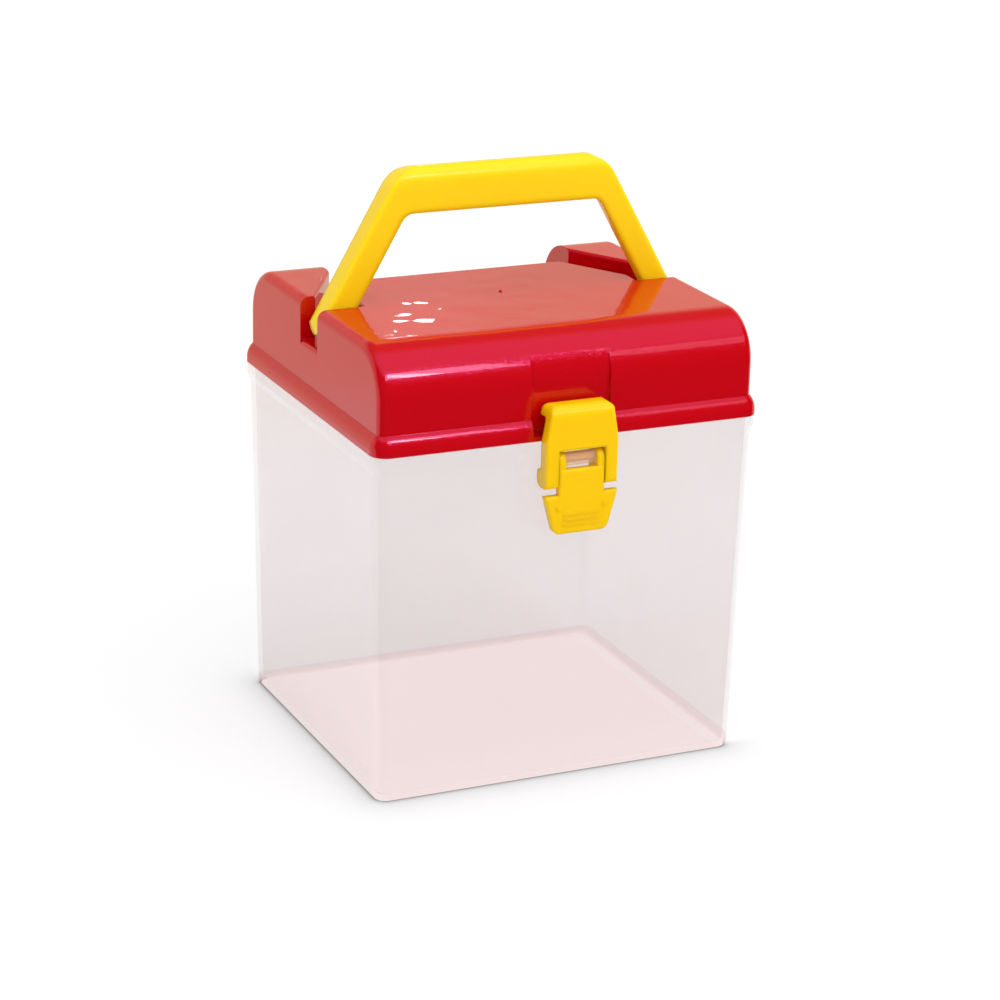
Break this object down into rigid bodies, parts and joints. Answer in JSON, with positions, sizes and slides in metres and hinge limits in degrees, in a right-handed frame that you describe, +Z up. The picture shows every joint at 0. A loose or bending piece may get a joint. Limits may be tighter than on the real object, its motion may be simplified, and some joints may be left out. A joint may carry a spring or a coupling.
{
  "type": "art supply box",
  "caption": "Upright art supply box with a clear drafted tub, a hinged rounded lid, a folding carry handle that drops into a channel in the lid, and an over-centre front latch.",
  "frame": {"origin": "centre of the tub's flat bottom, on the surface that the box stands on", "axes": "+Z up, -Y towards the front with the latch, +X to the right as seen from the front"},
  "size_m": [0.1708, 0.1698, 0.2458],
  "materials": {
    "tub": "translucent frosted moulded plastic",
    "lid": "glossy pearl moulded plastic",
    "handle": "smooth moulded plastic",
    "latch_lever": "smooth moulded plastic",
    "latch_clip": "smooth moulded plastic",
    "pin": "plain wire"
  },
  "bodies": {
    "tub": {"tub": "tub", "hinge_pin_left": "pin", "hinge_pin_right": "pin"},
    "lid": {"lid": "lid"},
    "handle": {"handle": "handle"},
    "latch_lever": {"latch_lever": "latch_lever"},
    "latch_clip": {"latch_clip": "latch_clip"}
  },
  "joints": [
    {"name": "lid_hinge", "type": "hinge", "parent": "tub", "child": "lid", "pos_m": [0, 0.0803, 0.14835], "axis": [-1, 0, 0], "range_deg": [0, 105]},
    {"name": "handle_fold", "type": "hinge", "parent": "lid", "child": "handle", "pos_m": [0, 0.0006, 0.1847], "axis": [-1, 0, 0], "range_deg": [0, 90]},
    {"name": "latch_lever_turn", "type": "hinge", "parent": "tub", "child": "latch_lever", "pos_m": [0, -0.0798, 0.142], "axis": [-1, 0, 0], "range_deg": [0, 90]},
    {"name": "latch_clip_turn", "type": "hinge", "parent": "latch_lever", "child": "latch_clip", "pos_m": [0, -0.0793, 0.1345], "axis": [-1, 0, 0], "range_deg": [-90, 0]}
  ],
  "couplings": [
    {"joint": "latch_clip_turn", "follows": "latch_lever_turn", "ratio": -1}
  ]
}
